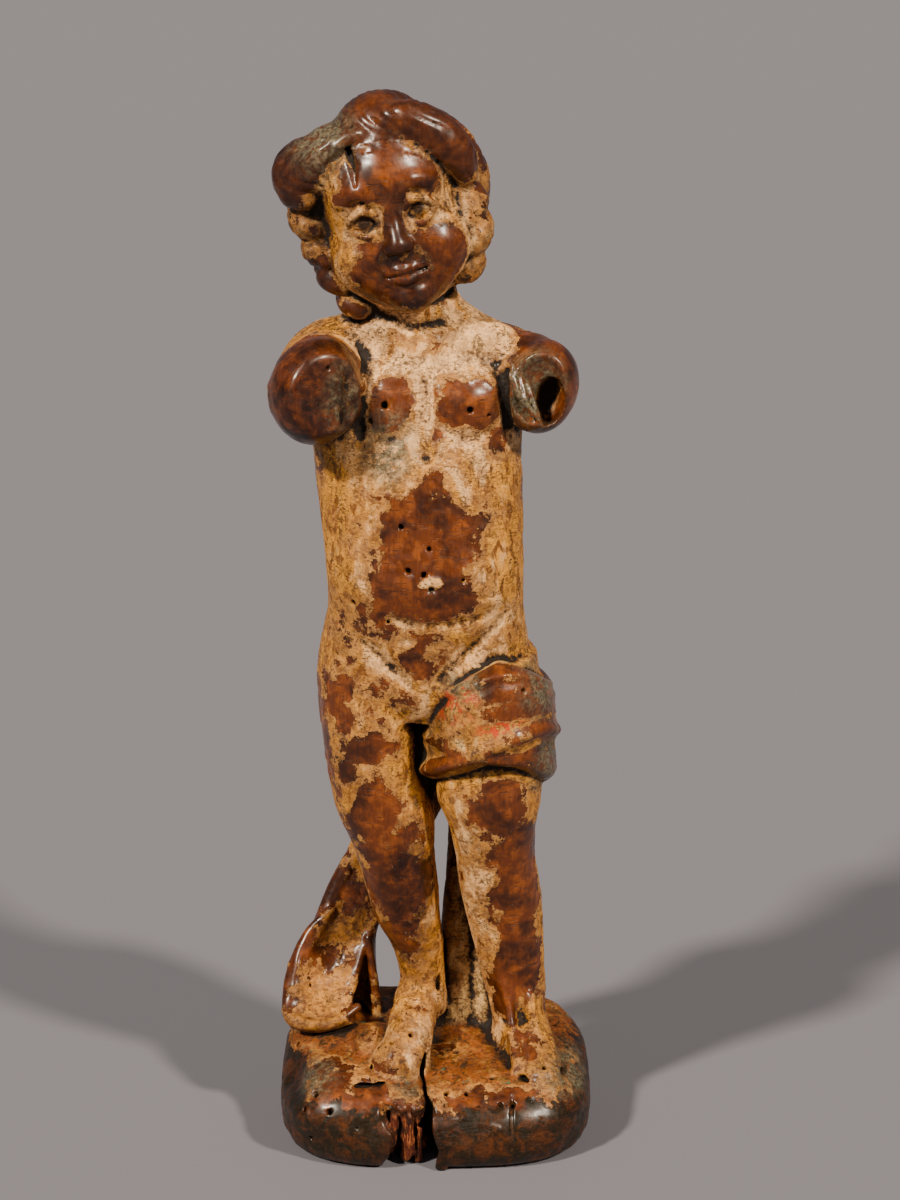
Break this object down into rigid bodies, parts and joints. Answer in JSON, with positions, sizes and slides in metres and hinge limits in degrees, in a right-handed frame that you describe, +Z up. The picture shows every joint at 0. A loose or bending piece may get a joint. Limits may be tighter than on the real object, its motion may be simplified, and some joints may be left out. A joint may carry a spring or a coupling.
{
  "type": "carved wooden putto statue",
  "caption": "Standing child carved from one block of wood with its base, arms broken off, a cloth round one thigh and worn painted skin.",
  "frame": {"origin": "middle of the bounding box, on the underside that the statue stands on", "axes": "+Z up from the base to the crown, the figure faces -Y, +X is to the viewer's right"},
  "size_m": [0.1134, 0.0939, 0.3818],
  "materials": {
    "painted_wood": "worn, waxed wood with flaked cream and ochre paint and dark grime in the creases"
  },
  "bodies": {
    "root": {"putto": "painted_wood"}
  },
  "joints": []
}
